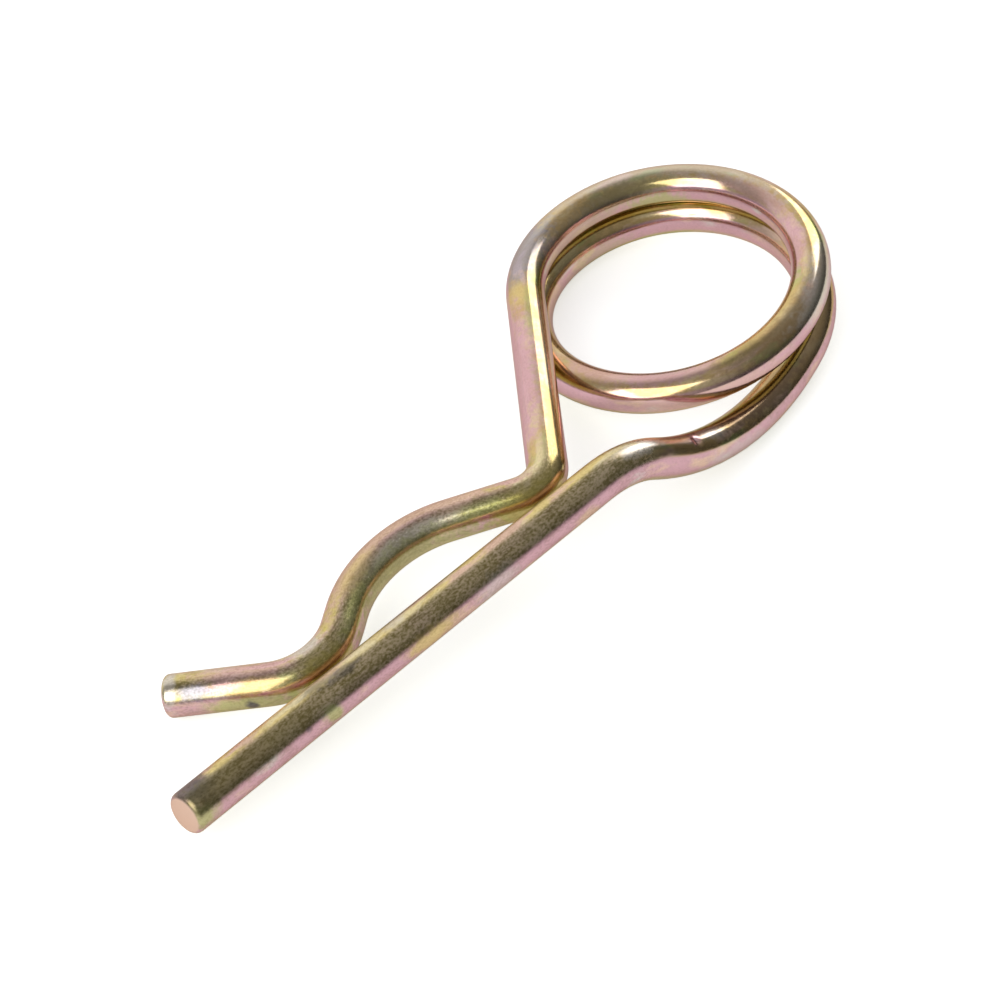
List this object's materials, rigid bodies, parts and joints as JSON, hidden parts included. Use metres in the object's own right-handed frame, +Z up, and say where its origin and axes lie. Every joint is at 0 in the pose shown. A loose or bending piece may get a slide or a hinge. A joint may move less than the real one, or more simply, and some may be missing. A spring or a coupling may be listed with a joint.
{
  "type": "hitch r clip pin",
  "caption": "Spring wire R clip with a straight leg, a wavy sprung leg and a coil, for locking a hitch pin through its cross hole.",
  "frame": {"origin": "middle of the clip's footprint, on the surface that it lies on", "axes": "+X from the straight leg's tip towards the coil, +Y from the straight leg towards the sprung leg, +Z up"},
  "size_m": [0.0906, 0.0362, 0.0109],
  "materials": {
    "plated_wire": "satin, yellow zinc plating with a faint rainbow tint"
  },
  "bodies": {
    "root": {"r_clip": "plated_wire"}
  },
  "joints": []
}
